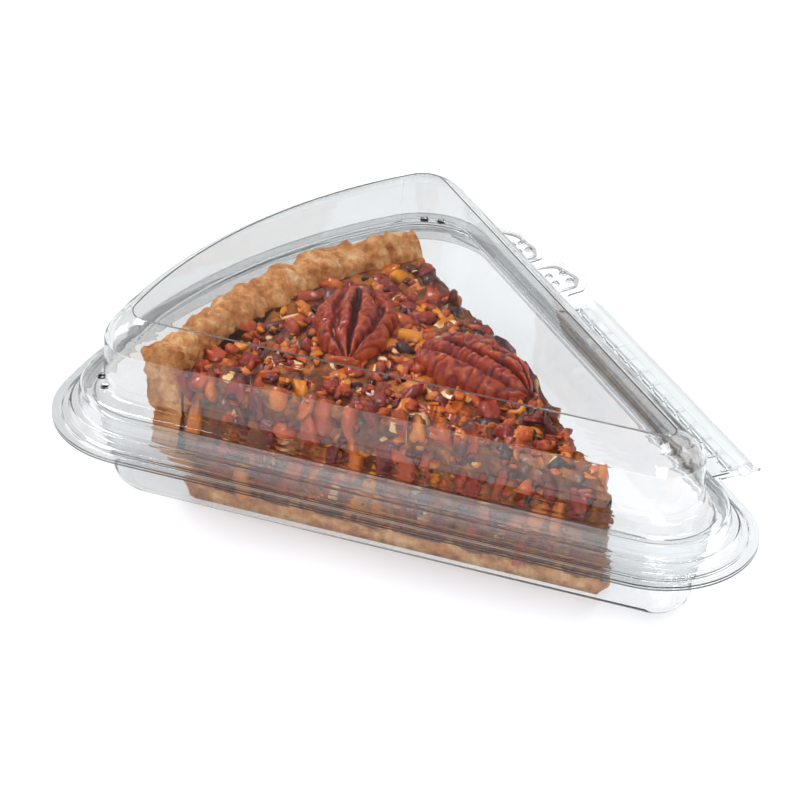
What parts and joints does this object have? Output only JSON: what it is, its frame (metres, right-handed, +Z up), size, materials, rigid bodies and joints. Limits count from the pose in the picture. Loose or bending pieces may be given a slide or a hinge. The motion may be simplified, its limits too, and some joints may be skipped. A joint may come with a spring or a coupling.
{
  "type": "hinged wedge pack with a slice of pie",
  "caption": "Clear wedge-shaped clamshell pack for a slice of pie: domed lid on a tray, joined by a tear strip, with two lift tabs and a slice of pecan pie inside.",
  "frame": {"origin": "on the table under the tray, on the wedge's middle line, half way along the flange", "axes": "+X from the curved back to the tip of the wedge, +Y to the hinge side, +Z up"},
  "size_m": [0.1748, 0.1509, 0.046],
  "materials": {
    "tray_sheet": "clear thermoformed plastic sheet, smooth and glossy",
    "lid_sheet": "clear thermoformed plastic sheet, smooth and glossy",
    "crust": "baked pastry, matt and slightly rough",
    "filling": "baked syrup filling with nuts, glossy",
    "pecan": "glazed nut, semi-gloss"
  },
  "bodies": {
    "tray": {"base_tray": "tray_sheet", "pie_crust": "crust", "pecan_filling": "filling", "pecan_half_rear": "pecan", "pecan_half_front": "pecan"},
    "cover": {"lid": "lid_sheet"}
  },
  "joints": [
    {"name": "fold", "type": "hinge", "parent": "tray", "child": "cover", "pos_m": [0.02772, 0.05141, 0.019], "axis": [-0.9239, 0.3827, 0], "range_deg": [0, 165]}
  ]
}
